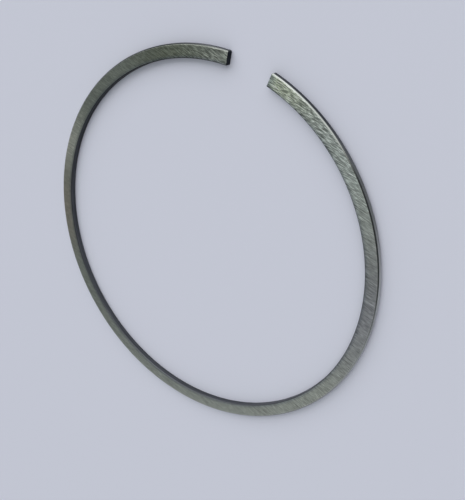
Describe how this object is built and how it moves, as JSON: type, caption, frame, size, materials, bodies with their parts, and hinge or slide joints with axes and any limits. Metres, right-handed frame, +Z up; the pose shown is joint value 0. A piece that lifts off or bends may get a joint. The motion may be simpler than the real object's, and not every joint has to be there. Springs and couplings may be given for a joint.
{
  "type": "piston ring",
  "caption": "Split compression piston ring in its free, open shape, with ground side faces, a bevelled barrel-shaped running face and square-cut ends.",
  "frame": {"origin": "on the ring's axis, level with the lower side face on which it lies", "axes": "+Z up along the ring's axis; the opening between the ends faces -Y, and the ring is the same on both sides of the YZ plane"},
  "size_m": [0.0892, 0.0889, 0.0015],
  "materials": {
    "ground_steel": "surface-ground steel with fine crossing grinding marks, bright bevels and a smooth running face"
  },
  "bodies": {
    "root": {"piston_ring": "ground_steel"}
  },
  "joints": []
}
